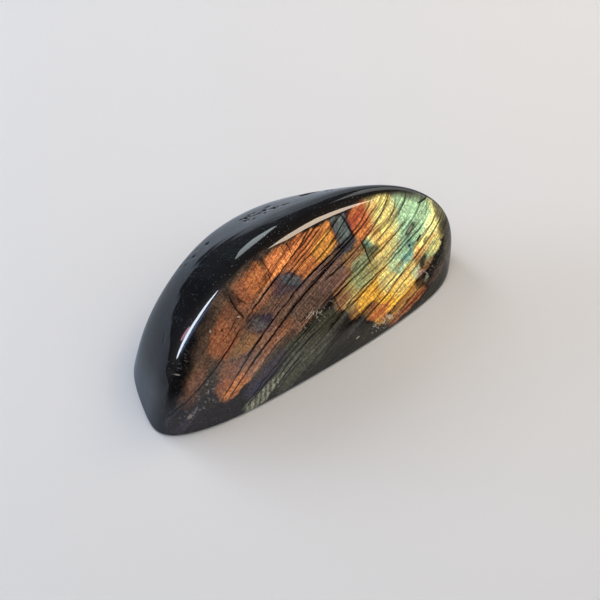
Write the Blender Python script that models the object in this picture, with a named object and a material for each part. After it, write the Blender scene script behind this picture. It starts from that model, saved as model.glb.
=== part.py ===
"""Polished labradorite: one palm-sized freeform stone with a flat ground base.

The stone is one solid. Its long axis runs along X, the broad colour face looks
towards -Y and leans back towards the ridge, and the ground base lies on Z = 0.
The form is the meeting of the broad faces a stone cutter grinds onto a pebble.
Each face has a compass bearing, a tilt and a distance from the grinding centre,
which lies on the base, and the edges between the faces are rounded over.
"""
import math

import bmesh
import bpy
import numpy as np

MM = 0.001

# Ground faces: bearing from +X towards +Y (degrees), tilt of the face's outward
# direction above the horizon (degrees), distance from the grinding centre (mm).
# The colour face at the front
FRONT = {
    "colour face, lower left": (-91, 19, 15.7),
    "colour face, middle": (-81, 33, 15.7),
    "colour face, upper left": (-102, 47, 25.8),
    "colour face, upper right": (-72, 43, 25.7),
    "below the ridge, right": (-55, 62, 25.9),
}
# The ends
ENDS = {
    "right end": (21, -14, 43.1),
    "right front corner": (-37, -15, 33.7),
    "left end": (165, 12, 39.4),
    "left end, upper part": (162, 39, 38.2),
    "left front corner": (-111, 13, 25.4),
}
# The back, steep below and leaning over towards the ridge
BACK = {
    "back": (100, -10, 18.6),
    "back, middle": (78, -8, 20.4),
    "back, right": (55, -6, 22.0),
    "back, right end": (36, -8, 31.0),
    "back left corner": (123, 11, 29.8),
    "back slope": (85, 57, 25.5),
    "left shoulder": (128, 51, 29.1),
    "right shoulder": (61, 48, 28.4),
}
# The top of the ridge
TOP = {
    "ridge top": (128, 83, 32.4),
}

# How crisply the faces meet: a higher number gives tighter edges
EDGE_CRISPNESS = 12

# Half-lengths that spread the mesh evenly over the long, narrow form (mm)
MESH_SPREAD = (42.0, 18.0, 28.0)
AROUND = 112
BASE_TO_RIDGE = 26

# Rounded arris between the sides and the flat base
ARRIS_WIDTH = 0.5 * MM
ARRIS_STEPS = 3

# Edges sharper than this stay crisp in the shading
SHARP_ANGLE = math.radians(40)


def clear_scene():
    for obj in list(bpy.data.objects):
        bpy.data.objects.remove(obj, do_unlink=True)


def face_table():
    """Outward directions and distances (m) of all ground faces."""
    rows = [row for group in (FRONT, ENDS, BACK, TOP) for row in group.values()]
    bearing, tilt, distance = np.array(rows, dtype=float).T
    bearing, tilt = np.radians(bearing), np.radians(tilt)
    outward = np.stack(
        [np.cos(tilt) * np.cos(bearing), np.cos(tilt) * np.sin(bearing), np.sin(tilt)], axis=1
    )
    return outward, distance * MM


def stone_radius(directions):
    """Distance from the grinding centre to the surface, for unit directions."""
    outward, distance = face_table()
    reach = np.maximum(0.0, directions @ outward.T / distance)
    return (reach**EDGE_CRISPNESS).sum(axis=1) ** (-1.0 / EDGE_CRISPNESS)


def grind(bm):
    """Move the upper half of a unit sphere out to the ground faces."""
    points = np.array([v.co for v in bm.verts]) * MESH_SPREAD
    directions = points / np.linalg.norm(points, axis=1, keepdims=True)
    for vert, place in zip(bm.verts, directions * stone_radius(directions)[:, None]):
        vert.co = place


def build_stone():
    bm = bmesh.new()
    bmesh.ops.create_uvsphere(
        bm, u_segments=AROUND, v_segments=2 * BASE_TO_RIDGE, radius=1.0
    )
    below = [v for v in bm.verts if v.co.z < -1e-6]
    bmesh.ops.delete(bm, geom=below, context="VERTS")
    for vert in bm.verts:
        vert.co.z = max(vert.co.z, 0.0)
    grind(bm)

    rim = [e for e in bm.edges if e.is_boundary]
    bmesh.ops.contextual_create(bm, geom=rim)
    bmesh.ops.bevel(
        bm, geom=rim, offset=ARRIS_WIDTH, offset_type="OFFSET",
        segments=ARRIS_STEPS, profile=0.5, affect="EDGES", clamp_overlap=True,
    )

    # Stand the stone on Z = 0 with the middle of its outline on the origin
    places = np.array([v.co for v in bm.verts])
    low, high = places.min(axis=0), places.max(axis=0)
    shift = ((low[0] + high[0]) / 2, (low[1] + high[1]) / 2, low[2])
    for vert in bm.verts:
        vert.co = [c - s for c, s in zip(vert.co, shift)]

    bmesh.ops.recalc_face_normals(bm, faces=bm.faces)
    mesh = bpy.data.meshes.new("stone")
    bm.to_mesh(mesh)
    bm.free()
    mesh.shade_smooth()
    mesh.set_sharp_from_angle(angle=SHARP_ANGLE)
    return mesh


def stone_material():
    material = bpy.data.materials.new("labradorite")
    material.use_nodes = True
    shader = material.node_tree.nodes["Principled BSDF"]
    shader.inputs["Base Color"].default_value = (0.09, 0.065, 0.045, 1.0)
    shader.inputs["Roughness"].default_value = 0.08
    shader.inputs["IOR"].default_value = 1.56
    return material


clear_scene()
collection = bpy.data.collections.new("polished_labradorite")
bpy.context.scene.collection.children.link(collection)
stone = bpy.data.objects.new("stone", build_stone())
stone.data.materials.append(stone_material())
collection.objects.link(stone)
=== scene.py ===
"""The looks of one polished labradorite: a mirror-polished dark feldspar freeform whose leaning
front face shows orange, yellow, green and blue colour zones cut by dark cleavage lines."""

import math

import bpy
import numpy as np
from mathutils import Matrix, Vector

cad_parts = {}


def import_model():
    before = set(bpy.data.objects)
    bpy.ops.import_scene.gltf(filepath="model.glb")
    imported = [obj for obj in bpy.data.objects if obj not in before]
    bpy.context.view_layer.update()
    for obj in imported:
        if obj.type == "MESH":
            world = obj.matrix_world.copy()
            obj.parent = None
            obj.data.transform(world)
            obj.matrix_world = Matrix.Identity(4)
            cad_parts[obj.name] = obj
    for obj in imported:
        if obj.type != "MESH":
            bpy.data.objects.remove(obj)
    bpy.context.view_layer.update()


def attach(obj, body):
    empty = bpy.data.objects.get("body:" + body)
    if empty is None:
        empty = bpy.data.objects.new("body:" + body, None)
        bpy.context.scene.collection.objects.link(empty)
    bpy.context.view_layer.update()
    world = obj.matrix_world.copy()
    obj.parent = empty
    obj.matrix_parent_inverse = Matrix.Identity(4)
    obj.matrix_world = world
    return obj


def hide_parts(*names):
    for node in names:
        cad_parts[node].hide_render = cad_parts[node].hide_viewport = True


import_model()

MM = 0.001

# The form: the same ground faces as the CAD solid. Each row is a compass bearing from +X
# towards +Y, a tilt above the horizon (both in degrees) and a distance in mm from the
# grinding centre, which lies on the base.
GROUND_FACES = (
    # colour face at the front, lower left, middle, upper left, upper right, below the ridge
    (-91, 19, 15.7),
    (-81, 33, 15.7),
    (-102, 47, 25.8),
    (-72, 43, 25.7),
    (-55, 62, 25.9),
    # right end and corner, left end low and high, left front corner
    (21, -14, 43.1),
    (-37, -15, 33.7),
    (165, 12, 39.4),
    (162, 39, 38.2),
    (-111, 13, 25.4),
    # back, from its left corner round to the right end
    (123, 11, 29.8),
    (100, -10, 18.6),
    (78, -8, 20.4),
    (55, -6, 22.0),
    (36, -8, 31.0),
    # slopes from the back up to the ridge: left, middle, right
    (128, 51, 29.1),
    (85, 57, 25.5),
    (61, 48, 28.4),
    # top of the ridge
    (128, 83, 32.4),
)
EDGE_CRISPNESS = 12

# The mesh: how it is spread over the long form, and its fineness
MESH_SPREAD = (42.0, 18.0, 28.0)
AROUND = 640
BASE_TO_RIDGE = 150
ARRIS = 0.5
SHARP_ANGLE = math.radians(60)

# Faint polishing waves: how many, their length (mm), how widely their ways spread in x, y and z,
# and their steepness
RIPPLE_SEED = 7
RIPPLE_WAVES = 40
RIPPLE_LENGTH = (1.2, 6.0)
RIPPLE_WAYS = (0.25, 1.0, 1.0)
RIPPLE_SLOPE = 0.0018
# Pits: place on the stone, radius and depth (mm)
PITS = (
    (-35.2, -8.5, 14.9, 1.0, 0.16),
    (-32.7, -2.2, 16.2, 0.5, 0.08),
    (-32.2, -1.4, 16.7, 0.5, 0.08),
    (7.6, 10.4, 21.2, 0.5, 0.12),
    (8.6, 10.0, 21.1, 0.4, 0.10),
    (13.4, 12.0, 19.1, 0.6, 0.22),
    (14.4, 11.9, 18.9, 0.7, 0.30),
    (15.4, 11.8, 18.7, 0.7, 0.32),
    (16.4, 11.6, 18.6, 0.7, 0.35),
    (17.5, 11.3, 18.6, 0.7, 0.30),
    (18.2, 9.0, 20.2, 0.5, 0.15),
    (19.2, 8.4, 20.3, 0.5, 0.12),
)
# Pitted places: centre, spread to each side (mm) and number of pits, and the pits' sizes
PITTED_SEED = 11
PITTED = (
    ((2.0, 12.2, 20.8), (4.2, 2.4, 1.4), 32),
    ((-16.5, 12.2, 17.8), (7.5, 1.6, 2.6), 12),
)
PITTED_RADIUS = (0.3, 0.5)
PITTED_DEPTH = (0.06, 0.15)

# The colour face's own axes: s runs along X, t runs up the leaning face
FACE_LEAN = math.radians(27)
FACE_OUT = (0.0, -math.cos(FACE_LEAN), math.sin(FACE_LEAN))
FACE_UP = (0.0, math.sin(FACE_LEAN), math.cos(FACE_LEAN))

# Camera, as in the photograph: aim and distance (mm), direction and lens
CAMERA_AIM = Vector((0.3, -5.4, 9.2)) * MM
CAMERA_AZIMUTH = math.radians(-36.2)
CAMERA_ELEVATION = math.radians(50.6)
CAMERA_DISTANCE = 420 * MM
CAMERA_LENS = 115.6
SENSOR_WIDTH = 36.0


def toward(bearing, elevation):
    """Unit vector at a compass bearing from +X towards +Y and a height above the horizon."""
    b, e = math.radians(bearing), math.radians(elevation)
    return Vector((math.cos(e) * math.cos(b), math.cos(e) * math.sin(b), math.sin(e)))


# Form

def stone_points(directions):
    """Places (mm) on the ground form in the given unit directions from the grinding centre."""
    bearing, tilt, distance = np.array(GROUND_FACES, dtype=float).T
    bearing, tilt = np.radians(bearing), np.radians(tilt)
    outward = np.stack(
        [np.cos(tilt) * np.cos(bearing), np.cos(tilt) * np.sin(bearing), np.sin(tilt)], axis=1
    )
    reach = np.maximum(0.0, directions @ outward.T / distance)
    radius = (reach**EDGE_CRISPNESS).sum(axis=1) ** (-1.0 / EDGE_CRISPNESS)
    return directions * radius[:, None]


def round_arris(places):
    """Draw the lowest half millimetre of the sides in, so that the edge of the base is rounded."""
    level = np.clip(places[:, 2] / ARRIS, 0.0, 1.0)
    inward = ARRIS * (1.0 - np.sqrt(1.0 - (1.0 - level) ** 2))
    flat = np.linalg.norm(places[:, :2], axis=1, keepdims=True)
    places[:, :2] *= 1.0 - inward[:, None] / np.maximum(flat, 1.0)
    return places


def ripple(places):
    """Heights (mm) of the faint waves that polishing leaves, mostly along the stone."""
    rng = np.random.default_rng(RIPPLE_SEED)
    height = np.zeros(len(places))
    for _ in range(RIPPLE_WAVES):
        way = rng.normal(size=3) * RIPPLE_WAYS
        way *= 2 * math.pi / (rng.uniform(*RIPPLE_LENGTH) * np.linalg.norm(way))
        height += np.sin(places @ way + rng.uniform(0, 2 * math.pi)) / np.linalg.norm(way)
    return height * RIPPLE_SLOPE


def pits(places):
    """Depths (mm) of the pits and of the chipped spots along the top edge."""
    rows = [((x, y, z), radius, depth) for x, y, z, radius, depth in PITS]
    rng = np.random.default_rng(PITTED_SEED)
    for centre, spread, count in PITTED:
        for _ in range(count):
            spot = np.array(centre) + rng.uniform(-1, 1, 3) * spread
            nearest = places[np.argmin(((places - spot) ** 2).sum(axis=1))]
            rows.append((nearest, rng.uniform(*PITTED_RADIUS), rng.uniform(*PITTED_DEPTH)))
    depth = np.zeros(len(places))
    for centre, radius, deep in rows:
        away = ((places - np.array(centre)) ** 2).sum(axis=1)
        depth += deep * np.exp(-away / radius**2)
    return depth


def ring_directions():
    """Unit directions to rings of points from the base up, and to a single point at the top."""
    around = np.radians(np.arange(AROUND) * 360.0 / AROUND)
    up = np.radians(np.arange(BASE_TO_RIDGE) * 90.0 / BASE_TO_RIDGE)
    rings = np.stack(
        [
            np.outer(np.cos(up), np.cos(around)),
            np.outer(np.cos(up), np.sin(around)),
            np.outer(np.sin(up), np.ones(AROUND)),
        ],
        axis=2,
    )
    points = np.vstack([rings.reshape(-1, 3), [(0.0, 0.0, 1.0)]]) * MESH_SPREAD
    return points / np.linalg.norm(points, axis=1, keepdims=True)


def ring_faces():
    """The flat base, the four-sided faces between the rings, and the triangles round the top."""
    faces = [tuple(reversed(range(AROUND)))]
    for ring in range(BASE_TO_RIDGE - 1):
        low, high = ring * AROUND, (ring + 1) * AROUND
        for i in range(AROUND):
            after = (i + 1) % AROUND
            faces.append((low + i, low + after, high + after, high + i))
    top, last = BASE_TO_RIDGE * AROUND, (BASE_TO_RIDGE - 1) * AROUND
    for i in range(AROUND):
        faces.append((last + i, last + (i + 1) % AROUND, top))
    return faces


def stone_mesh():
    """The rings pushed out to the ground form, with its waves and pits."""
    directions = ring_directions()
    places = round_arris(stone_points(directions))
    middle = (places.min(axis=0) + places.max(axis=0)) / 2
    places[:, :2] -= middle[:2]
    places += directions * (ripple(places) * np.clip(places[:, 2], 0.0, 1.0))[:, None]
    places -= directions * pits(places)[:, None]
    mesh = bpy.data.meshes.new("polished_stone")
    mesh.from_pydata((places * MM).tolist(), [], ring_faces())
    mesh.update()
    mesh.shade_smooth()
    mesh.set_sharp_from_angle(angle=SHARP_ANGLE)
    return mesh


# Node arithmetic

class Number:
    """A number in a node tree, which can be used in ordinary arithmetic."""

    def __init__(self, nodes, socket):
        self.nodes = nodes
        self.socket = socket

    def math(self, operation, *others):
        node = self.nodes.new("ShaderNodeMath")
        node.operation = operation
        for slot, value in zip(node.inputs, (self, *others)):
            put(slot, value)
        return Number(self.nodes, node.outputs[0])

    def __add__(self, other):
        return self.math("ADD", other)

    def __sub__(self, other):
        return self.math("SUBTRACT", other)

    def __mul__(self, other):
        return self.math("MULTIPLY", other)

    def __abs__(self):
        return self.math("ABSOLUTE")

    def __pow__(self, power):
        return self.math("POWER", power)

    def __rsub__(self, other):
        return (self * -1.0) + other

    def step(self, low, high, start=0.0, end=1.0):
        """Runs smoothly from start, where this is at low, to end, where it is at high."""
        node = self.nodes.new("ShaderNodeMapRange")
        node.interpolation_type = "SMOOTHSTEP"
        # a smooth step keeps between its ends by itself
        node.clamp = False
        names = ("Value", "From Min", "From Max", "To Min", "To Max")
        for name, value in zip(names, (self, low, high, start, end)):
            put(node.inputs[name], value)
        return Number(self.nodes, node.outputs[0])


def put(slot, value):
    """Link a socket or number to an input, or set a plain value on it."""
    if isinstance(value, Number):
        value = value.socket
    if isinstance(value, bpy.types.NodeSocket):
        slot.id_data.links.new(value, slot)
    else:
        slot.default_value = value


def named(slots, identifier):
    """The slot with an identifier, on a node whose slots share their names."""
    return next(slot for slot in slots if slot.identifier == identifier)


def colour(code):
    """Linear colour, with alpha, from a six-digit sRGB code."""
    parts = [int(code[i:i + 2], 16) / 255 for i in (0, 2, 4)]
    linear = [c / 12.92 if c <= 0.04045 else ((c + 0.055) / 1.055) ** 2.4 for c in parts]
    return (*linear, 1.0)


class Paint:
    """Adds nodes to a tree: coordinates, noise and layers of colour."""

    def __init__(self, tree):
        self.nodes = tree.nodes

    def join(self, x, y, z=0.0):
        node = self.nodes.new("ShaderNodeCombineXYZ")
        for slot, value in zip(node.inputs, (x, y, z)):
            put(slot, value)
        return node.outputs[0]

    def vector_math(self, operation, first, second=None, scale=None):
        node = self.nodes.new("ShaderNodeVectorMath")
        node.operation = operation
        put(node.inputs[0], first)
        if second is not None:
            put(node.inputs[1], second)
        if scale is not None:
            put(node.inputs["Scale"], scale)
        return node

    def dot(self, first, second):
        node = self.vector_math("DOT_PRODUCT", first, second)
        return Number(self.nodes, node.outputs["Value"])

    def noise(self, vector, scale, detail, roughness):
        """A noise number from 0 to 1, and a colour of three more."""
        node = self.nodes.new("ShaderNodeTexNoise")
        put(node.inputs["Vector"], vector)
        node.inputs["Scale"].default_value = scale
        node.inputs["Detail"].default_value = detail
        node.inputs["Roughness"].default_value = roughness
        return Number(self.nodes, node.outputs["Fac"]), node.outputs["Color"]

    def grain(self, vector, scale, detail, roughness):
        return self.noise(vector, scale, detail, roughness)[0]

    def dots(self, vector, scale):
        """Distance to the nearest of scattered points."""
        node = self.nodes.new("ShaderNodeTexVoronoi")
        put(node.inputs["Vector"], vector)
        node.inputs["Scale"].default_value = scale
        return Number(self.nodes, node.outputs["Distance"])

    def channels(self, tone):
        """A colour's red, green and blue, which in a noise are three noises."""
        node = self.nodes.new("ShaderNodeSeparateColor")
        put(node.inputs[0], tone)
        return [Number(self.nodes, out) for out in node.outputs]

    def layer(self, below, above, amount, blend="MIX"):
        """Lay one colour over another by an amount from 0 to 1."""
        node = self.nodes.new("ShaderNodeMix")
        node.data_type = "RGBA"
        node.blend_type = blend
        put(named(node.inputs, "Factor_Float"), amount)
        put(named(node.inputs, "A_Color"), below)
        put(named(node.inputs, "B_Color"), above)
        return named(node.outputs, "Result_Color")

    def shift(self, tone, hue, value):
        """Turn a colour's hue, where 0.5 leaves it, and scale its brightness."""
        node = self.nodes.new("ShaderNodeHueSaturation")
        put(node.inputs["Hue"], hue)
        put(node.inputs["Value"], value)
        put(node.inputs["Color"], tone)
        return node.outputs[0]

    def stamp(self, group, **values):
        """Add a node group and fill its inputs, whose names are given in lower case."""
        node = self.nodes.new("ShaderNodeGroup")
        node.node_tree = group
        for name, value in values.items():
            put(node.inputs[name], value)
        return node.outputs[0]


def new_group(name, **sockets):
    """A node group with the given inputs and a colour output, and the sockets of both inside it."""
    group = bpy.data.node_groups.new(name, "ShaderNodeTree")
    for socket, kind in sockets.items():
        group.interface.new_socket(socket, in_out="INPUT", socket_type="NodeSocket" + kind)
    group.interface.new_socket("tone", in_out="OUTPUT", socket_type="NodeSocketColor")
    inside = group.nodes.new("NodeGroupInput").outputs
    outside = group.nodes.new("NodeGroupOutput").inputs
    given = {
        socket: Number(group.nodes, inside[socket]) if kind == "Float" else inside[socket]
        for socket, kind in sockets.items()
    }
    return group, given, outside[0]


# How square the blocks of colour are: 2 gives ellipses, more gives rounded rectangles
SQUARENESS = 4
# A line is fully dark within the inner share of its width and ends at the outer share; its ends
# fade over this length to each side (mm)
LINE_INNER = 0.15
LINE_OUTER = 0.9
LINE_FADE = 1.5


def block_distance(paint, place, across, along):
    """Grows from 0 at the middle of a block to 1 at its rim. The place is (s, t, 1), and its
    products with across and along run from -1 to 1 over the block."""
    return paint.dot(place, across) ** SQUARENESS + paint.dot(place, along) ** SQUARENESS


def zone_group():
    """Lays a tone over a rounded block of the face with a soft edge."""
    group, given, result = new_group(
        "colour_zone", below="Color", place="Vector", across="Vector", along="Vector",
        outer="Float", inner="Float", tone="Color", cover="Float",
    )
    paint = Paint(group)
    far = block_distance(paint, given["place"], given["across"], given["along"])
    amount = far.step(given["outer"], given["inner"], 0.0, given["cover"])
    put(result, paint.layer(given["below"], given["tone"], amount))
    return group


def line_group():
    """Darkens a thin curve on the face. Powers is (s squared, s, 1), and shape holds the curve's
    own three factors."""
    group, given, result = new_group(
        "cleavage_line", below="Color", s="Float", t="Float", powers="Vector", shape="Vector",
        middle="Float", faded="Float", full="Float", outer="Float", inner="Float", dark="Float",
        tone="Color",
    )
    paint = Paint(group)
    off = abs(given["t"] - paint.dot(given["powers"], given["shape"]))
    past = abs(given["s"] - given["middle"])
    along = past.step(given["faded"], given["full"], 0.0, given["dark"])
    cut = off.step(given["outer"], given["inner"], 0.0, along)
    put(result, paint.layer(given["below"], given["tone"], cut, "MULTIPLY"))
    return group


def block(centre, reach, turn, edge):
    """What a zone group needs to know of a block: centre and reach in mm, turn in degrees."""
    cosine, sine = math.cos(math.radians(turn)), math.sin(math.radians(turn))
    (s, t), (long, short) = centre, reach
    return {
        "across": (cosine / long, sine / long, -(cosine * s + sine * t) / long),
        "along": (-sine / short, cosine / short, (sine * s - cosine * t) / short),
        "outer": (1.0 + edge) ** SQUARENESS,
        "inner": (1.0 - edge) ** SQUARENESS,
    }


def curve(points, width):
    """What a line group needs to know of a line through three points, in mm."""
    (s0, t0), (s1, t1), (s2, t2) = points
    rise = (t1 - t0) / (s1 - s0)
    bend = ((t2 - t0) / (s2 - s0) - rise) / (s2 - s1)
    slope = rise - bend * (s0 + s1)
    half = (s2 - s0) / 2
    return {
        "shape": (bend, slope, t0 - s0 * (slope + bend * s0)),
        "middle": (s0 + s2) / 2,
        "faded": half + LINE_FADE,
        "full": half - LINE_FADE,
        "outer": width * LINE_OUTER,
        "inner": width * LINE_INNER,
    }


# Stone colours, as seen on the lit face
SOOT = colour("060609")
RIDGE = colour("120e0b")
VEIN = colour("242a2c")
COAL = colour("1c1a18")
ASH = colour("221e1a")
SLATE = colour("3c3c3e")
UMBER = colour("5c483a")
BROWN = colour("6e5240")
MAUVE = colour("70564c")
CLAY = colour("8a6450")
RUST = colour("a0603c")
AMBER = colour("c27844")
COPPER = colour("9c6040")
ORANGE = colour("dc864e")
EMBER = colour("b4603a")
BRONZE = colour("ac7c46")
GOLD = colour("eab046")
YELLOW = colour("f6e48c")
LEMON = colour("f6f2aa")
STRAW = colour("ecdc8c")
OLIVE = colour("a89c60")
KHAKI = colour("443b30")
FERN = colour("525a42")
SAGE = colour("8ea67e")
MINT = colour("b0d4a8")
JADE = colour("78a088")
TEAL = colour("86c0ae")
STEEL = colour("606a68")
NAVY = colour("2c2c40")
PLUM = colour("3c3440")
MOSS = colour("4a4a3c")
BONE = colour("868674")
FLESH = colour("c49488")
RIM = colour("48453a")
TOE = colour("241a1c")

# Colours of the lines, marks and specks
LINE_TONE = colour("2c1a10")
MINOR_LINE_TONE = colour("503c2c")
CRACK_TONE = colour("140f0c")
CHIP_AND_GLINT_TONE = colour("c8beac")
RUNG_TONE = colour("1c1a16")
RUNG_GAP_TONE = colour("a8a894")
CRUMB_TONE = colour("16130f")
FLECK_TONE = colour("a8a69e")
DUST_AND_GLINT_TONE = colour("9c9890")

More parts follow.
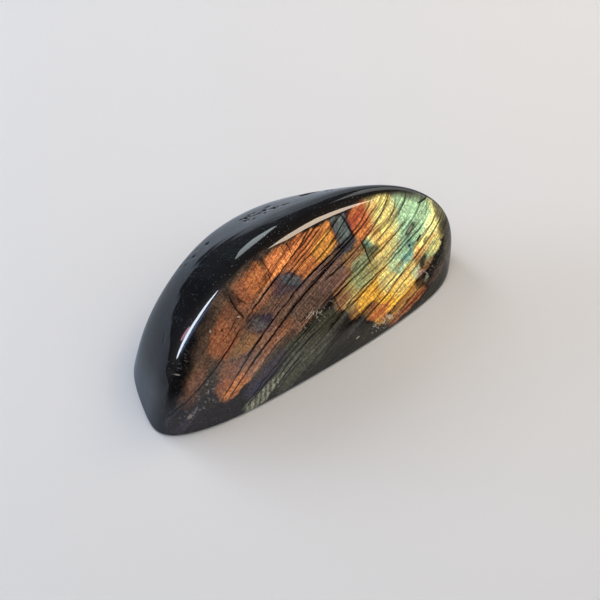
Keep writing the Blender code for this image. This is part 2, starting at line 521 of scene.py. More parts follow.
# Colour zones in face coordinates (s, t in mm): centre, reach, turn in degrees, soft edge as a
# share of the reach, colour, and how strongly it covers what lies under it. Later rows lie
# over earlier ones.
ZONES = (
    # dark ground along the whole face
    ((2, -2), (40, 8), 0, 0.15, ASH, 1.0),
    # brown ground from the left end to the middle
    ((-30, 1), (11, 9), 30, 0.36, COAL, 0.9),
    ((-24, 7.5), (9.5, 4.6), 30, 0.54, KHAKI, 0.9),
    ((-13, 9.5), (11, 5.2), 25, 0.45, MAUVE, 1.0),
    ((0, 11.5), (11, 4.6), 14, 0.45, MAUVE, 1.0),
    ((-3, 8.0), (6, 2.2), 14, 0.72, UMBER, 0.7),
    ((-33.0, 4.0), (3.0, 1.3), 50, 0.90, RUST, 0.30),
    ((-31.0, 7.4), (2.6, 1.1), 40, 0.9, CLAY, 0.4),
    ((-28.6, 11.0), (3.6, 1.2), 34, 0.9, UMBER, 0.4),
    # painted shade: near black over the shadowed border of the left end
    ((-35.3, 9.7), (7.0, 3.3), 58, 0.35, SOOT, 0.9),
    ((-33.0, -4.6), (6.0, 4.2), 24, 0.60, TOE, 0.7),
    ((-38.0, -0.6), (2.6, 0.5), 50, 0.80, SLATE, 0.5),
    ((-35.6, -3.6), (2.6, 0.6), 40, 0.90, PLUM, 0.5),
    ((-19.0, 8.6), (2.2, 1.5), 10, 0.9, BRONZE, 0.5),
    ((-17.0, 12.6), (2.6, 1.0), 34, 0.9, CLAY, 0.6),
    ((-10.5, 12.6), (3.6, 1.2), 20, 0.9, CLAY, 0.4),
    ((-12.0, 7.9), (4.0, 0.8), 24, 0.9, BROWN, 0.7),
    ((-13.4, 7.6), (1.8, 0.8), 24, 0.9, CLAY, 0.7),
    # orange fields under the ridge, with grey blue wedges between them
    ((-21.4, 13.2), (5.8, 3.6), 42, 0.80, UMBER, 0.6),
    ((-21.7, 12.8), (4.3, 2.2), 42, 0.70, COPPER, 0.85),
    ((-13.2, 18.0), (5.8, 4.9), 10, 0.80, UMBER, 0.6),
    ((-12.4, 17.9), (3.7, 2.8), 14, 0.60, COPPER, 0.95),
    ((-10.9, 19.2), (2.0, 1.8), 20, 0.90, AMBER, 0.75),
    ((-3.8, 20.1), (4.1, 3.0), 4, 0.40, UMBER, 0.5),
    ((-3.8, 19.8), (3.9, 2.6), 4, 0.35, ORANGE, 1.0),
    ((3.6, 20.0), (5.4, 3.2), 12, 0.35, ORANGE, 1.0),
    ((4.6, 17.2), (5.6, 1.9), 14, 0.45, AMBER, 1.0),
    ((7.4, 17.6), (2.4, 1.6), 14, 0.72, GOLD, 0.45),
    ((7.6, 21.6), (3.4, 1.0), 2, 0.72, AMBER, 0.8),
    ((-9.6, 16.2), (5.2, 0.8), 12, 0.60, CLAY, 0.8),
    ((-18.2, 19.2), (0.7, 1.6), 14, 0.95, COAL, 0.6),
    ((-8.8, 22.6), (0.6, 1.1), 8, 0.90, COAL, 0.6),
    ((-5.4, 15.2), (2.6, 1.7), -10, 0.50, NAVY, 0.6),
    ((-3.5, 15.4), (3.0, 1.1), -38, 0.35, NAVY, 0.6),
    ((-3.7, 15.3), (2.2, 0.8), -38, 0.50, STEEL, 0.5),
    ((-14.3, 10.5), (2.4, 1.8), -30, 0.50, NAVY, 0.5),
    ((-14.2, 10.5), (1.5, 1.0), -30, 0.55, STEEL, 0.42),
    ((-12.8, 11.2), (1.0, 0.6), -20, 0.9, PLUM, 0.8),
    # brown passing to bronze and olive, right of the middle
    ((8.6, 12.4), (5.6, 2.6), 12, 0.54, MAUVE, 0.9),
    ((8.2, 5.2), (3.3, 2.6), 8, 0.25, BRONZE, 0.95),
    ((7.0, 4.6), (2.0, 1.6), 0, 0.72, CLAY, 0.6),
    ((9.5, 8.8), (3.0, 1.0), 12, 0.72, CLAY, 0.7),
    ((13.4, 11.5), (2.7, 1.9), 12, 0.45, BRONZE, 0.95),
    ((13.6, 11.4), (2.2, 1.2), 12, 0.9, MAUVE, 0.5),
    ((16.6, 7.4), (6.6, 2.2), 12, 0.4, OLIVE, 1.0),
    ((14.4, 9.8), (2.0, 1.0), 10, 0.72, SAGE, 0.7),
    ((13.2, 6.6), (1.6, 1.5), 0, 0.9, SAGE, 0.5),
    ((22.2, 8.2), (3.4, 1.9), 14, 0.63, STRAW, 0.75),
    ((18.6, 7.4), (3.0, 1.4), 14, 0.90, OLIVE, 0.4),
    # golden field at the lower right, with an orange rim
    ((12.6, 3.6), (4.6, 0.9), 13, 0.54, STRAW, 0.85),
    ((10.6, 1.6), (2.8, 1.6), 10, 0.63, BRONZE, 0.8),
    ((16.5, 2.2), (5.4, 2.4), 14, 0.40, GOLD, 1.0),
    ((22.2, 2.9), (4.2, 2.4), 16, 0.54, STRAW, 1.0),
    ((19.9, 3.4), (1.2, 0.9), 0, 0.9, YELLOW, 0.7),
    ((20.8, -1.6), (6.8, 2.2), 15, 0.36, GOLD, 1.0),
    ((14.4, -2.4), (2.5, 1.7), -22, 0.45, AMBER, 0.95),
    ((24.6, 0.2), (3.6, 1.2), 16, 0.63, STRAW, 0.55),
    ((22.0, -4.2), (5.0, 0.9), 12, 0.54, BRONZE, 1.0),
    ((21.8, -5.5), (4.0, 0.6), 12, 0.80, RUST, 0.8),
    ((32.4, -2.8), (2.2, 0.5), 18, 0.9, UMBER, 0.4),
    # yellow and red between the ridge and the green
    ((22.6, 11.4), (4.8, 1.9), 14, 0.45, STRAW, 1.0),
    ((22.6, 11.6), (3.0, 1.2), 14, 0.90, GOLD, 0.45),
    ((18.0, 12.2), (1.7, 2.0), 6, 0.55, FERN, 0.95),
    ((18.3, 12.8), (0.9, 0.8), 0, 0.9, TEAL, 0.4),
    ((23.0, 14.4), (4.2, 1.7), 14, 0.45, YELLOW, 1.0),
    ((23.6, 17.0), (4.2, 1.6), 18, 0.45, YELLOW, 0.95),
    ((22.2, 16.2), (2.2, 0.6), 14, 0.9, MINT, 0.3),
    ((20.6, 16.6), (0.9, 3.2), -6, 0.90, AMBER, 0.6),
    ((17.2, 15.2), (2.2, 1.1), 16, 0.54, AMBER, 1.0),
    ((18.0, 18.3), (3.4, 2.1), 10, 0.36, EMBER, 1.0),
    ((19.5, 17.4), (3.0, 0.6), 16, 0.9, ORANGE, 0.7),
    # grey blue window under the ridge
    ((12.6, 18.2), (2.2, 3.9), -8, 0.25, NAVY, 0.95),
    ((12.6, 18.7), (1.5, 2.7), -8, 0.45, STEEL, 0.95),
    ((12.0, 14.6), (2.4, 0.9), 12, 0.63, SLATE, 0.7),
    # the black ridge over the orange fields
    ((7.0, 23.9), (15.0, 2.0), -6.9, 0.16, RIDGE, 1.0),
    # green, teal and the yellow right of them
    ((32.2, 12.6), (4.9, 4.2), -18, 0.36, MINT, 1.0),
    ((28.6, 11.6), (2.2, 3.6), -8, 0.60, MINT, 0.85),
    ((30.0, 16.0), (2.4, 1.3), 10, 0.80, MINT, 0.8),
    ((26.2, 15.6), (1.0, 3.4), -4, 0.90, STRAW, 0.5),
    ((24.4, 17.4), (2.4, 2.0), 4, 0.90, YELLOW, 0.5),
    ((35.2, 11.0), (3.0, 2.4), -30, 0.54, MINT, 1.0),
    ((27.8, 8.8), (3.0, 1.5), 10, 0.80, JADE, 0.35),
    ((27.4, 6.4), (3.6, 1.4), 14, 0.65, JADE, 0.9),
    ((23.6, 5.6), (2.4, 1.0), 14, 0.72, MINT, 0.7),
    ((25.2, 4.2), (2.3, 0.8), 14, 0.85, TEAL, 0.8),
    ((23.6, 4.4), (0.8, 0.5), 14, 0.9, STRAW, 0.6),
    ((32.4, 8.6), (2.6, 1.0), 16, 0.72, MINT, 0.8),
    ((34.8, 6.8), (4.4, 1.4), 30, 0.80, LEMON, 0.9),
    ((37.7, 10.2), (0.9, 3.0), -12, 0.90, YELLOW, 0.5),
    ((30.4, 5.2), (1.8, 0.7), 14, 0.72, YELLOW, 0.7),
    ((34.0, 4.0), (3.0, 1.0), 22, 0.72, YELLOW, 0.85),
    ((33.0, 4.9), (1.6, 0.4), 24, 0.80, AMBER, 0.5),
    ((33.0, 2.4), (2.2, 1.0), 26, 0.63, SAGE, 0.9),
    ((34.2, 2.8), (1.2, 0.7), 20, 0.9, YELLOW, 0.6),
    ((29.6, 3.1), (1.7, 0.7), 22, 0.75, BRONZE, 0.6),
    ((29.0, 4.2), (1.1, 0.4), 22, 0.75, ORANGE, 0.8),
    ((27.2, 0.3), (0.9, 0.9), 0, 0.72, TEAL, 0.55),
    ((28.6, -0.3), (1.0, 0.8), 20, 0.72, FLESH, 0.7),
    ((29.9, 1.4), (1.2, 0.7), 36, 0.63, COAL, 0.9),
    ((30.8, 0.1), (1.4, 0.5), 24, 0.9, BRONZE, 0.6),
    ((28.4, -2.2), (1.9, 0.9), 6, 0.80, COAL, 0.85),
    ((29.4, -2.6), (0.5, 0.3), 30, 0.9, BONE, 0.7),
    # the grey rim at the top right and the right end
    ((32.8, 20.5), (10, 4), -33, 0.30, RIM, 0.95),
    ((41.0, 5.0), (3.6, 9.0), -6, 0.35, RIM, 0.9),
    # lower edge of the colour on the left: orange streaks over a plum shadow
    ((-25.4, 2.4), (2.4, 1.5), 50, 0.9, RUST, 0.36),
    ((-26.0, 0.4), (1.4, 1.2), 40, 0.9, RUST, 0.8),
    ((-21.8, 0.6), (4.2, 1.1), 26, 0.65, AMBER, 0.85),
    ((-15.4, 3.4), (4.4, 1.3), 27, 0.63, CLAY, 0.9),
    ((-11.2, 5.4), (3.2, 0.8), 22, 0.9, RUST, 0.36),
    ((-6.4, 4.8), (3.6, 0.9), 14, 0.72, CLAY, 0.7),
    ((-14.0, 1.2), (4.6, 0.9), 26, 0.9, KHAKI, 0.8),
    ((-16.4, -1.4), (4.4, 1.0), 24, 0.72, PLUM, 0.9),
    ((-19.0, -3.2), (1.4, 0.7), 20, 0.9, NAVY, 0.7),
    # pale fans near the lower edge
    ((-17.8, -5.6), (5.0, 1.2), 19, 0.36, BONE, 1.0),
    ((-10.6, -2.0), (5.2, 0.9), 27, 0.54, BONE, 0.45),
    ((-8.4, -4.2), (5.0, 1.3), 24, 0.72, MOSS, 0.8),
    ((-2.6, -1.4), (2.6, 1.8), 30, 0.9, MOSS, 0.9),
    ((-3.0, 2.2), (5.0, 1.3), 12, 0.8, MOSS, 0.75),
    ((3.6, -0.2), (4.6, 0.5), 20, 0.9, SLATE, 0.4),
    ((9.6, -2.2), (3.6, 0.5), 22, 0.9, SLATE, 0.5),
    ((5.4, 1.4), (2.4, 0.4), 22, 0.9, MOSS, 0.5),
)

# Cleavage lines through three points each (s, t in mm), then width and darkness
LINES = (
    ((4, 6.3), (16.3, 8.75), (30, 12), 0.39, 0.93),
    ((4, 11.0), (16.3, 13.5), (28.3, 18.5), 0.44, 1.00),
    ((20, 12), (26, 13.5), (32.8, 16.5), 0.36, 0.96),
    ((21.2, 13.4), (25.9, 14.7), (29.4, 17.0), 0.34, 0.93),
    ((11.2, 4.25), (24, 6.7), (33.5, 9.2), 0.42, 0.98),
    ((7.8, 2.4), (12, 3.4), (18, 4.95), 0.39, 0.93),
    ((9, -1.2), (17.3, 1.3), (22.5, 2.8), 0.39, 0.98),
    ((12.6, -1.7), (20, 0.7), (25, 2.9), 0.36, 0.93),
    ((21, 1.3), (30, 4.2), (39, 7.9), 0.42, 0.98),
    ((16, -2.6), (25, 0.7), (31, 2.7), 0.36, 0.93),
    ((17.3, -4.3), (24, -2.4), (31, -0.6), 0.34, 0.90),
    ((20, -5.2), (24, -4.1), (31, -2.5), 0.30, 0.85),
    ((19, -6.4), (23, -5.4), (28, -4.6), 0.31, 0.88),
    ((33, 7.2), (36, 8.3), (38.4, 9.9), 0.34, 0.88),
    ((28, 6.3), (31, 6.9), (34, 7.7), 0.31, 0.78),
    ((26, 9.8), (31, 11.4), (34.8, 13.2), 0.36, 0.92),
    ((24, 7.6), (27, 8.2), (31, 9.0), 0.31, 0.68),
    ((0, 20.0), (6, 21.6), (10, 22.7), 0.34, 0.88),
    ((-3, 18.2), (2, 19.6), (10, 21.9), 0.36, 0.93),
    ((-4, 17.0), (2, 18.6), (8, 20.6), 0.31, 0.88),
    ((0, 17.2), (6, 18.6), (13.3, 21), 0.34, 0.88),
    ((8, 17.0), (13, 19.1), (17.7, 20.75), 0.36, 0.98),
    ((9, 15.2), (15, 16.6), (23.3, 19.8), 0.39, 1.00),
    ((3, 13.4), (13.3, 15.3), (23, 18.2), 0.39, 0.98),
    ((0, 13.6), (6, 14.9), (14, 16.4), 0.34, 0.88),
    ((0, 12.2), (7, 13.4), (12, 14.4), 0.31, 0.83),
    ((-20, 4.9), (-8.1, 10.9), (7.9, 15.3), 0.47, 1.00),
    ((-20, 2.4), (-8, 8.5), (7.9, 13.4), 0.47, 1.00),
    ((-17, 1.1), (-13, 3.6), (-10, 4.7), 0.34, 0.88),
    ((-21, -5.0), (-11.5, 0.5), (-3, 3.6), 0.49, 0.98),
    ((-22.6, -6.6), (-15, -2.4), (-6.4, 1.4), 0.44, 0.98),
    ((-15.8, -6.3), (-11, -3.4), (-6.4, -1.2), 0.44, 0.98),
    ((-14.9, -4.3), (-9, -0.9), (-2.2, 1.7), 0.44, 0.98),
    ((-15.1, 14.3), (-5, 18.2), (6.4, 22.7), 0.42, 0.98),
    ((-17, 12.9), (-12.5, 15.4), (-7, 17.4), 0.34, 0.88),
    ((-20, 11.2), (-16, 12.6), (-13.2, 14.0), 0.29, 0.78),
    ((-23.4, 11.4), (-21.2, 12.8), (-18.6, 14.9), 0.29, 0.78),
    ((-39.6, -1.2), (-27.8, 5.8), (-18.7, 12), 0.44, 0.98),
    ((-27, -1.4), (-21.2, 3.4), (-13, 8.8), 0.44, 0.98),
    ((-26, -2.4), (-20, 2), (-12, 6.4), 0.42, 0.98),
    ((3.2, 6.1), (6, 6.7), (10, 7.4), 0.31, 0.88),
    ((17, 10.4), (18.6, 11.0), (20.4, 12.0), 0.21, 0.68),
    ((-3, -5.2), (5.8, -1.6), (13.6, 0.3), 0.36, 0.90),
    ((1.2, -5.7), (5.6, -4.2), (10.7, -2.3), 0.31, 0.88),
    ((-4.3, -1.8), (0, -0.2), (8.8, 3.5), 0.34, 0.88),
)

# Cracks across the cleavage: centre, reach, turn (s, t in mm, degrees) and darkness. The soft
# edge of all of them is a share of the reach.
CRACK_EDGE = 0.4
CRACKS = (
    ((-18.5, 17.8), (1.6, 0.14), 94, 0.9),
    ((-17.9, 15.0), (1.4, 0.18), 108, 0.9),
    ((-8.2, 20.6), (1.9, 0.11), 98, 0.75),
    ((-8.5, 17.8), (1.3, 0.14), 84, 0.7),
    ((16.3, 11.1), (2.5, 0.18), 92, 0.9),
    ((17.5, 10.6), (2.4, 0.10), 94, 0.6),
    ((14.5, 18.7), (2.6, 0.26), 98, 0.85),
    ((-1.25, 21.3), (1.1, 0.12), 88, 0.8),
    ((-2.7, 21.6), (1.1, 0.12), 84, 0.7),
    ((-11.4, 17.0), (1.0, 0.10), 92, 0.6),
    ((-16.4, 17.2), (1.0, 0.16), 120, 0.7),
    ((5.2, 4.0), (2.2, 0.12), 100, 0.7),
    ((29.4, 9.8), (1.5, 0.5), 24, 0.85),
    ((30.8, 6.9), (0.8, 0.24), 38, 0.95),
    ((27.7, 6.6), (0.3, 0.24), 20, 0.95),
    ((32.2, 5.6), (0.7, 0.30), 30, 0.7),
    ((35.9, 13.3), (1.7, 0.16), -8, 0.95),
    ((35.8, 11.6), (1.4, 0.10), 50, 0.6),
    ((36.9, 2.7), (1.0, 0.20), 64, 0.8),
    ((-23.1, 13.6), (0.26, 0.2), 0, 0.95),
    ((-1.3, 22.3), (0.26, 0.2), 0, 0.95),
    ((-3.8, 6.1), (1.0, 0.25), 20, 0.8),
    ((17.0, -4.6), (0.5, 0.3), 40, 0.9),
    ((26.8, -1.6), (0.5, 0.3), 10, 0.8),
)

# Bright chips, and a painted highlight on the lit rim of the pit by the left end, as for the cracks
CHIP_AND_GLINT_EDGE = 0.5
CHIPS_AND_GLINTS = (
    ((-2.5, 6.1), (1.1, 0.08), 24, 0.8),
    ((-2.2, 5.7), (0.6, 0.07), 18, 0.8),
    ((-0.8, 4.5), (0.2, 0.15), 30, 0.6),
    ((-11.4, 5.4), (0.2, 0.12), 30, 0.7),
    ((13.4, -5.1), (0.4, 0.14), -30, 0.5),
    ((16.6, -5.6), (0.5, 0.12), -44, 0.6),
    ((7.4, -5.3), (0.4, 0.10), 10, 0.6),
    ((-18.5, 14.5), (0.3, 0.12), -20, 0.8),
    ((-25.4, 14.7), (0.10, 0.22), 0, 0.8),
    ((29.3, 9.75), (0.8, 0.22), 24, 0.45),
    # painted highlight: the lit rim of the pit by the left end
    ((-35.1, 8.7), (0.7, 0.13), -35, 0.6),
    ((-35.0, -2.4), (0.5, 0.25), 40, 0.40),
    ((-33.6, -1.6), (0.9, 0.12), 50, 0.35),
    ((-0.6, 5.4), (0.5, 0.10), 50, 0.9),
    ((-1.4, 5.9), (0.35, 0.10), 60, 0.9),
    ((0.6, 5.2), (0.3, 0.10), 30, 0.7),
    ((16.7, -5.2), (0.40, 0.28), 30, 0.8),
    ((15.0, -5.5), (0.50, 0.14), 50, 0.7),
    ((12.6, -5.2), (0.14, 0.30), -20, 0.6),
)

# Strips with rungs: centre, reach, turn, spacing of the rungs in mm and how dark they are
RUNG_EDGE = 0.4
RUNGS = (
    ((-17.6, -5.6), (4.8, 1.2), 19, 1.5, 0.9),
)
# How far the rungs lean, how two noises unsettle them, and how strongly their gaps show
RUNG_LEAN = 0.8
RUNG_UNREST = (6.0, 9.0)
RUNG_GAPS = 0.8
# Where rungs and gaps start and are full on the wave, and on the noises that break them up
RUNG_ON_WAVE = (-0.4, 0.7)
GAP_ON_RUNG = (0.2, 0.0)
RUNG_ON_MOTTLE = (0.3, 0.6)
GAP_ON_TINT = (0.5, 0.7)

# Crushed places: centre, reach, turn and how strongly they show
CRUSHED_EDGE = 0.8
CRUSHED = (
    ((-29.4, 1.6), (1.8, 2.0), 60, 0.50),
    ((-34.4, -2.2), (1.8, 1.2), 30, 0.40),
    ((-2.6, 5.6), (2.2, 0.9), 14, 0.60),
    ((2.0, 4.6), (2.4, 0.8), 14, 0.50),
    ((15.2, -5.4), (3.2, 0.9), 12, 0.80),
    ((29.8, -0.8), (1.4, 1.2), 20, 0.60),
    ((32.6, 0.4), (1.6, 1.1), 40, 0.50),
    ((-32.6, 13.2), (1.2, 3.2), -24, 0.22),
)
# Where their grains and flecks start and are full on their noises
CRUMB_ON_NOISE = (0.50, 0.42)
FLECK_ON_NOISE = (0.56, 0.63)

# How the cleavage rises and bends along s, as powers of s in mm
CLEAVAGE = (0.33, -0.0057, 0.000073, 0.0000014)

# Noises that are alike in all directions: repeats per mm, detail and roughness
WANDER = (0.30, 3.0, 0.6)
TREMBLE = (0.35, 3.0, 0.6)
MOTTLE = (1.9, 4.0, 0.75)
GRIT = (5.0, 1.0, 0.5)
CRUMB = (2.6, 3.0, 0.8)
# Noises drawn out along the cleavage: repeats per mm along s and across it, detail, roughness
FRAY = (0.10, 1.3, 2.0, 0.6)
STRIP = (0.04, 0.75, 1.0, 0.5)
LAMELLA = (0.25, 2.6, 2.0, 0.6)
# Leaning noises: lean, repeats per mm in s and t, detail and roughness
FIBRE = (0.35, 2.4, 0.6, 2.0, 0.6)
FLECK = (0.40, 1.5, 0.9, 3.0, 0.7)
# A noise's middle value, and the values that most of it lies between
MIDDLE = 0.5
USUAL = (0.3, 0.7)
USUAL_GRIT = (0.25, 0.75)

# How far (mm) the noises move the borders of the zones, along s and t, and the marks
WANDER_REACH = (2.6, 1.8)
FRAY_REACH = 1.1
TREMBLE_REACH = 0.7

# Brightness at the low and high values of each noise, and how far the hue turns with them from
# where it is left as it is
STRIP_SHADE = (0.76, 1.22)
LAMELLA_SHADE = (0.80, 1.18)
FIBRE_SHADE = (0.70, 1.28)
GRIT_SHADE = (0.74, 1.26)
SAME_HUE = 0.5
STRIP_HUE = 0.012
MOTTLE_HUE = 0.009

# How strongly things show along s: between which two places (mm) it changes, and from what to
# what
STREAKS_LEFT = (-20.0, -4.0, 0.4, 0.95)
STREAKS_RIGHT = (8.0, 20.0, 1.0, 0.85)
CLOUDS_ALONG = (-16.0, 10.0, 0.60, 0.38)
STRIP_HUES_ALONG = (-2.0, 14.0, 0.35, 1.0)
LINES_ALONG = (8.0, 22.0, 1.0, 0.86)
# The lines are weaker where a noise is low
LINES_WEAK = (0.25, 0.5, 0.6, 1.0)

# Minor cleavage lines, where a drawn-out noise crosses its middle value: the noise, how far from
# the middle they end and are full, and their darkness
MINOR_LINES = (
    ((0.022, 0.6, 2.0, 0.5), (0.028, 0.004), 0.85),
    ((0.035, 1.5, 2.0, 0.5), (0.040, 0.005), 0.5),
)

# The colours show where the surface faces out of the colour face, by the cosine between the two;
# the ridge has its own black between its own two values
COLOURS_FACING = (0.50, 0.74)
RIDGE_FACING = (-0.1, 0.45)
# Where the faint veins of the dark back start and are full on three noises; the mottling leaves
# a part of them everywhere
VEIN_ON_STRIP = (0.45, 0.70)
VEIN_ON_LAMELLA = (0.35, 0.70)
VEIN_ON_MOTTLE = (0.30, 0.70, 0.3, 1.0)

# Specks of dust and scratches in the polish, with painted glints where they catch the light: how
# many per mm, how far out (in their own spacing) they end and are full, and how strong they are
# where a noise is low and high
SPECKS = 1.5
SPECK_SIZE = (0.15, 0.04)
SPECK_STRENGTH = (0.35, 0.6, 0.15, 0.75)

# The seen colours were read under the studio light; this turns them into the stone's own
LIGHT_SHARE = 0.80

# The stone's dull body and the polish over it
BODY_ROUGHNESS = 0.5
BODY_SPECULAR = 0.1
POLISH_ROUGHNESS = 0.025
POLISH_IOR = 1.56


def sway(noise, reach):
    """A noise as a movement of up to half the reach to both sides."""
    return (noise - MIDDLE) * reach


class StoneColour:
    """The stone's colour, built up in layers over the coordinates of its colour face."""

    def __init__(self, tree):
        self.paint = Paint(tree)
        self.zone = zone_group()
        self.skin = SOOT
        self.find_place()
        self.find_noises()
        self.find_marks()

    def find_place(self):
        """The place in mm, the face coordinates, and the height above the cleavage."""
        paint = self.paint
        coordinates = paint.nodes.new("ShaderNodeTexCoord").outputs["Object"]
        self.place = paint.vector_math("SCALE", coordinates, scale=1 / MM).outputs[0]
        self.s = paint.dot(self.place, (1.0, 0.0, 0.0))
        self.t = paint.dot(self.place, FACE_UP)
        bend = self.s * CLEAVAGE[-1]
        for power in reversed(CLEAVAGE[:-1]):
            bend = (bend + power) * self.s
        self.level = self.t - bend

    def find_noises(self):
        """The noises that more than one layer uses."""
        self.strip, self.strip_tone = self.along_cleavage(STRIP)
        self.lamella, _ = self.along_cleavage(LAMELLA)
        self.mottle, mottle_tone = self.paint.noise(self.place, *MOTTLE)
        self.tint, _, _ = self.paint.channels(mottle_tone)
        self.streaky = self.s.step(*STREAKS_LEFT) * self.s.step(*STREAKS_RIGHT)

    def find_marks(self):
        """Lines, cracks and chips keep their places on the face, a little unsteady."""
        tremble_tone = self.paint.noise(self.place, *TREMBLE)[1]
        self.tremble, tremble_t, self.weak = self.paint.channels(tremble_tone)
        self.mark_s = self.s + sway(self.tremble, TREMBLE_REACH)
        self.mark_t = self.t + sway(tremble_t, TREMBLE_REACH)
        self.mark_place = self.paint.join(self.mark_s, self.mark_t, 1.0)

    def along_cleavage(self, row):
        """A noise drawn out along the cleavage, and a colour of three more."""
        along, across, detail, roughness = row
        vector = self.paint.join(self.s * along, self.level * across)
        return self.paint.noise(vector, 1.0, detail, roughness)

    def lay(self, tone, amount, blend="MIX"):
        """Lay a tone over what is there by an amount from 0 to 1."""
        self.skin = self.paint.layer(self.skin, tone, amount, blend)

    def cover(self, place, row, tone, amount):
        """Lay a tone over a block of the face."""
        self.skin = self.paint.stamp(
            self.zone, below=self.skin, place=place, tone=tone, cover=amount, **row
        )

    def within(self, row):
        """1 inside a block of the marks and 0 outside it."""
        far = block_distance(self.paint, self.mark_place, row["across"], row["along"])
        return far.step(row["outer"], row["inner"])

    def colour_zones(self):
        """The zones, whose borders wander slowly and are frayed along the cleavage."""
        wander_s, wander_t, _ = self.paint.channels(self.paint.noise(self.place, *WANDER)[1])
        fray, _ = self.along_cleavage(FRAY)
        zone_s = self.s + sway(wander_s, WANDER_REACH[0]) + sway(fray, FRAY_REACH)
        zone_t = self.t + sway(wander_t, WANDER_REACH[1])
        place = self.paint.join(zone_s, zone_t, 1.0)
        for centre, reach, turn, edge, tone, amount in ZONES:
            self.cover(place, block(centre, reach, turn, edge), tone, amount)

    def structure(self):
        """Strips of a millimetre, fine lamellae, fibres across them, mottling and grit."""
        lean, in_s, in_t, detail, roughness = FIBRE
        vector = self.paint.join((self.s + self.t * lean) * in_s, (self.t - self.s * lean) * in_t)
        fibre = self.paint.grain(vector, 1.0, detail, roughness)
        streak = self.strip.step(*USUAL, *STRIP_SHADE) * self.lamella.step(*USUAL, *LAMELLA_SHADE)
        streak = streak * fibre.step(*USUAL, *FIBRE_SHADE)
        clouds = self.mottle.step(*USUAL, -1.0, 1.0) * self.s.step(*CLOUDS_ALONG) + 1.0
        grit = self.paint.grain(self.place, *GRIT).step(*USUAL_GRIT, *GRIT_SHADE)
        shade = ((streak - 1.0) * self.streaky + 1.0) * clouds * grit

        strip_turn, _, _ = self.paint.channels(self.strip_tone)
        turned = strip_turn.step(*USUAL, -STRIP_HUE, STRIP_HUE) * self.s.step(*STRIP_HUES_ALONG)
        hue = self.tint.step(*USUAL, SAME_HUE - MOTTLE_HUE, SAME_HUE + MOTTLE_HUE) + turned
        self.skin = self.paint.shift(self.skin, hue, shade * (1 / LIGHT_SHARE))

    def minor_lines(self):
        for row, width, dark in MINOR_LINES:
            off = abs(self.along_cleavage(row)[0] - MIDDLE)
            self.lay(MINOR_LINE_TONE, off.step(*width) * self.streaky * dark, "MULTIPLY")

    def main_lines(self):
        powers = self.paint.join(self.mark_s * self.mark_s, self.mark_s, 1.0)
        strength = self.weak.step(*LINES_WEAK) * self.s.step(*LINES_ALONG)
        line = line_group()
        for *points, width, dark in LINES:
            self.skin = self.paint.stamp(
                line, below=self.skin, s=self.mark_s, t=self.mark_t, powers=powers,
                dark=strength * dark, tone=LINE_TONE, **curve(points, width),
            )

    def cracks_chips_and_glints(self):
        for centre, reach, turn, dark in CRACKS:
            self.cover(self.mark_place, block(centre, reach, turn, CRACK_EDGE), CRACK_TONE, dark)
        # pale chips, and a painted highlight on the rim of the pit by the left end
        for centre, reach, turn, bright in CHIPS_AND_GLINTS:
            self.cover(self.mark_place, block(centre, reach, turn, CHIP_AND_GLINT_EDGE), CHIP_AND_GLINT_TONE, bright)

    def rungs(self):
        """Leaning rungs across the pale strips, with paler gaps."""
        for centre, reach, turn, spacing, dark in RUNGS:
            row = block(centre, reach, turn, RUNG_EDGE)
            inside = self.within(row)
            leaning = [
                reach[0] * across - reach[1] * along * RUNG_LEAN
                for across, along in zip(row["across"], row["along"])
            ]
            wave = self.paint.dot(self.mark_place, leaning) * (2 * math.pi / spacing)
            wave = wave + self.mottle * RUNG_UNREST[0] + self.tremble * RUNG_UNREST[1]
            rung = wave.math("SINE").step(*RUNG_ON_WAVE)
            gap = rung.step(*GAP_ON_RUNG)
            self.lay(RUNG_TONE, rung * inside * self.mottle.step(*RUNG_ON_MOTTLE) * dark)
            self.lay(RUNG_GAP_TONE, gap * inside * self.tint.step(*GAP_ON_TINT) * RUNG_GAPS)

    def crushed_places(self):
        """Dark grains and pale flecks."""
        lean, in_s, in_t, detail, roughness = FLECK
        vector = self.paint.join((self.s + self.t * lean) * in_s, self.t * in_t)
        fleck = self.paint.grain(vector, 1.0, detail, roughness)
        crumb = self.paint.grain(self.place, *CRUMB)
        for centre, reach, turn, strength in CRUSHED:
            inside = self.within(block(centre, reach, turn, CRUSHED_EDGE))
            self.lay(CRUMB_TONE, crumb.step(*CRUMB_ON_NOISE) * inside * strength)
            self.lay(FLECK_TONE, fleck.step(*FLECK_ON_NOISE) * inside * strength)

    def dark_back(self):
        """The colours end at the ridge, and the back is dark with faint veins."""
        normal = self.paint.nodes.new("ShaderNodeNewGeometry").outputs["Normal"]
        facing = self.paint.dot(normal, FACE_OUT)
        vein = self.strip.step(*VEIN_ON_STRIP) * self.lamella.step(*VEIN_ON_LAMELLA)
        vein = vein * self.mottle.step(*VEIN_ON_MOTTLE)
        veined = self.paint.layer(SOOT, VEIN, vein)
        dark = self.paint.layer(veined, RIDGE, facing.step(*RIDGE_FACING))
        self.skin = self.paint.layer(dark, self.skin, facing.step(*COLOURS_FACING))

    def dust_and_glints(self):
        # painted glints: pale specks in the base colour where dust and scratches in the polish
        # catch the light
        speck = self.paint.dots(self.place, SPECKS).step(*SPECK_SIZE)
        self.lay(DUST_AND_GLINT_TONE, speck * self.weak.step(*SPECK_STRENGTH))


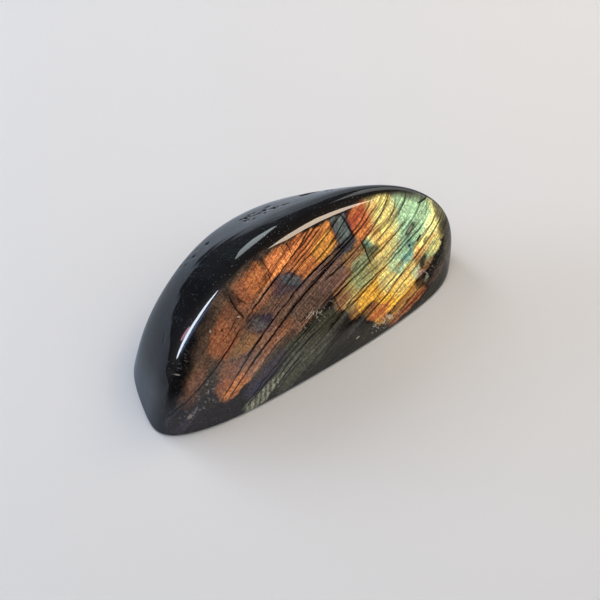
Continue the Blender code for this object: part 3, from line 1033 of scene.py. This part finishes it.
def labradorite():
    material = bpy.data.materials.new("polished_labradorite")
    material.use_nodes = True
    stone_colour = StoneColour(material.node_tree)
    stone_colour.colour_zones()
    stone_colour.structure()
    stone_colour.minor_lines()
    stone_colour.main_lines()
    stone_colour.cracks_chips_and_glints()
    stone_colour.rungs()
    stone_colour.crushed_places()
    stone_colour.dark_back()
    stone_colour.dust_and_glints()

    shader = material.node_tree.nodes["Principled BSDF"]
    put(shader.inputs["Base Color"], stone_colour.skin)
    shader.inputs["Roughness"].default_value = BODY_ROUGHNESS
    shader.inputs["Specular IOR Level"].default_value = BODY_SPECULAR
    shader.inputs["Coat Weight"].default_value = 1.0
    shader.inputs["Coat Roughness"].default_value = POLISH_ROUGHNESS
    shader.inputs["Coat IOR"].default_value = POLISH_IOR
    return material


# Studio

FLOOR_COLOUR = (0.80, 0.80, 0.81, 1.0)
FLOOR_ROUGHNESS = 0.9
FLOOR_HALF = 3.0
FLOOR_DROP = 0.1 * MM
# How the stone mirrors the pale floor, in painted light and shade: bluish from the daylight on it,
# but warm on the near right from the lamplight, and how much of it is kept on the left, left
# behind, behind and right behind, where painted shade dims it
MIRRORED_FLOOR = (0.66, 0.74, 0.86, 1.0)
MIRRORED_WARM = (0.80, 0.77, 0.70, 1.0)
MIRRORED_DARK = (0.0, 0.0, 0.0, 1.0)
KEPT_LEFT, KEPT_LEFT_BEHIND, KEPT_BEHIND, KEPT_RIGHT_BEHIND = 0.86, 0.54, 0.90, 0.34
# Where one passes to the other, in m: nearer in y, to the right in x, from left to left behind
# in y, and from behind to right behind in x
NEARER = (0.0, -0.03)
RIGHTWARD = (-0.03, 0.03)
LEFT_BEHIND = (0.0, 0.02)
RIGHT_BEHIND = (0.040, 0.062)
# Painted shade: none of the floor is mirrored from where the room is dark, sharply behind and
# gently on the near
# side: distances in m
MIRRORED_FAR = (0.20, 0.26)
MIRRORED_NEAR = (0.015, 0.13)

# Lamps seen in the polish: name, bearing and elevation of both ends, breadth (m, at one metre),
# radiance, colour and outline
MIRRORED_LAMPS = (
    ("window_left", (174, 20), (116, 66), 0.30, 15.0, (0.78, 0.87, 1.0), "ELLIPSE"),
    ("window_haze", (-174, 30), (170, 76), 0.20, 1.8, (0.30, 0.50, 1.0), "ELLIPSE"),
    ("window_pink", (138, 24), (148, 42), 0.20, 4.5, (1.0, 0.50, 0.66), "ELLIPSE"),
    ("lamp_right", (-14, 57), (10, 39.5), 0.30, 10.5, (1.0, 0.81, 0.63), "RECTANGLE"),
    ("window_low", (82, 20), (66, 3), 0.15, 1.8, (0.88, 0.98, 1.0), "ELLIPSE"),
    ("wall_right", (50, 6), (4, 10), 0.30, 0.8, (0.95, 1.0, 0.98), "RECTANGLE"),
)
# Lamps that light the matt floor and the stone: name, bearing, elevation, distance, width,
# height (m), radiance and colour
SOFT_LAMPS = (
    ("daylight", 95, 34, 1.0, 0.40, 0.40, 6.0, (0.88, 0.93, 1.0)),
    ("daylight_low", 138, 17, 0.60, 0.42, 0.15, 9.6, (0.62, 0.75, 1.0)),
    ("room_light", -58, 45, 1.0, 0.60, 0.60, 1.2, (1.0, 0.90, 0.78)),
    ("lamplight", 5, 48, 0.35, 0.14, 0.14, 4.2, (1.0, 0.80, 0.55)),
    ("ceiling", 90, 86, 1.0, 1.40, 1.40, 0.57, (0.99, 0.97, 0.94)),
)
# A weak lamp near the camera that only lights the stone, for its colours
COLOUR_LAMP = ("colour_fill", -48, 30, 1.0, 0.70, 0.40, 4.6, (1.0, 0.98, 0.95))
SKY = (0.20, 0.205, 0.215, 1.0)
SKY_MIRRORED = (0.006, 0.007, 0.010, 1.0)
BACKDROP = (0.74, 0.745, 0.76, 1.0)


def floor():
    bpy.ops.mesh.primitive_plane_add(size=2 * FLOOR_HALF, location=(0, 0, -FLOOR_DROP))
    plane = bpy.context.object
    plane.name = "floor"
    material = bpy.data.materials.new("pale_floor")
    material.use_nodes = True
    shader = material.node_tree.nodes["Principled BSDF"]
    paint = Paint(material.node_tree)
    place = paint.nodes.new("ShaderNodeTexCoord").outputs["Object"]
    away = Number(paint.nodes, paint.vector_math("LENGTH", place).outputs["Value"])
    x = paint.dot(place, (1.0, 0.0, 0.0))
    y = paint.dot(place, (0.0, 1.0, 0.0))
    near = y.step(*NEARER)
    right = x.step(*RIGHTWARD)
    path = paint.nodes.new("ShaderNodeLightPath")
    mirrored = Number(paint.nodes, path.outputs["Is Glossy Ray"])
    # painted light and shade on the floor as the stone mirrors it: black beyond, dimmed to the
    # sides, bluish, and warm on the near right
    beyond = away.step(*MIRRORED_FAR) * (1.0 - near) + away.step(*MIRRORED_NEAR) * near
    behind = x.step(*RIGHT_BEHIND, KEPT_BEHIND, KEPT_RIGHT_BEHIND) * (1.0 - near) + near
    left = y.step(*LEFT_BEHIND, KEPT_LEFT, KEPT_LEFT_BEHIND)
    kept = (1.0 - beyond) * (left * (1.0 - right) + behind * right)
    seen = paint.layer(MIRRORED_FLOOR, MIRRORED_WARM, right * near)
    seen = paint.layer(MIRRORED_DARK, seen, kept)
    put(shader.inputs["Base Color"], paint.layer(FLOOR_COLOUR, seen, mirrored))
    shader.inputs["Roughness"].default_value = FLOOR_ROUGHNESS
    shader.inputs["Specular IOR Level"].default_value = 0.0
    plane.data.materials.append(material)


def flat_lamp(name, place, up, width, height, radiance, tone, outline="RECTANGLE"):
    """A flat lamp at a place, facing the stone, with its height along the given way up."""
    data = bpy.data.lights.new(name, "AREA")
    data.shape = outline
    data.size = width
    data.size_y = height
    data.energy = radiance * math.pi * width * height
    data.color = tone
    lamp = bpy.data.objects.new(name, data)
    out = place.normalized()
    along = (up - out * up.dot(out)).normalized()
    lamp.matrix_world = Matrix((along.cross(out), along, out)).transposed().to_4x4()
    lamp.location = place
    lamp.visible_camera = False
    bpy.context.scene.collection.objects.link(lamp)
    return lamp


def soft_lamp(name, bearing, elevation, distance, width, height, radiance, tone):
    place = toward(bearing, elevation) * distance
    lamp = flat_lamp(name, place, Vector((0, 0, 1)), width, height, radiance, tone)
    lamp.visible_glossy = False
    return lamp


def mirrored_lamp(name, start, end, breadth, radiance, tone, outline):
    start, end = toward(*start), toward(*end)
    place = (start + end).normalized()
    length = 2 * math.tan(start.angle(end) / 2)
    lamp = flat_lamp(name, place, end - start, breadth, length, radiance, tone, outline)
    lamp.visible_diffuse = False


def lamps(stone):
    for row in MIRRORED_LAMPS:
        mirrored_lamp(*row)
    for row in SOFT_LAMPS:
        soft_lamp(*row)
    fill = soft_lamp(*COLOUR_LAMP)
    only_stone = bpy.data.collections.new("lit_by_colour_fill")
    only_stone.objects.link(stone)
    fill.light_linking.receiver_collection = only_stone


def world():
    """A dim sky that the stone hardly mirrors, and a plain pale backdrop for the camera."""
    data = bpy.data.worlds.new("studio")
    data.use_nodes = True
    bpy.context.scene.world = data
    paint = Paint(data.node_tree)
    path = paint.nodes.new("ShaderNodeLightPath").outputs
    sky = paint.layer(SKY, SKY_MIRRORED, path["Is Glossy Ray"])
    seen = paint.layer(sky, BACKDROP, path["Is Camera Ray"])
    put(paint.nodes["Background"].inputs["Color"], seen)


def camera():
    data = bpy.data.cameras.new("camera")
    data.lens = CAMERA_LENS
    data.sensor_width = SENSOR_WIDTH
    data.clip_start = 0.01
    eye = bpy.data.objects.new("camera", data)
    back = Vector((
        math.sin(CAMERA_AZIMUTH) * math.cos(CAMERA_ELEVATION),
        -math.cos(CAMERA_AZIMUTH) * math.cos(CAMERA_ELEVATION),
        math.sin(CAMERA_ELEVATION),
    ))
    eye.location = CAMERA_AIM + back * CAMERA_DISTANCE
    eye.rotation_euler = back.to_track_quat("Z", "Y").to_euler()
    bpy.context.scene.collection.objects.link(eye)
    bpy.context.scene.camera = eye


camera()
world()
floor()
bpy.context.scene.view_settings.view_transform = "Standard"

stone = bpy.data.objects.new("polished_stone", stone_mesh())
stone.data.materials.append(labradorite())
bpy.context.scene.collection.objects.link(stone)
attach(stone, "root")
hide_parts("stone")
lamps(stone)
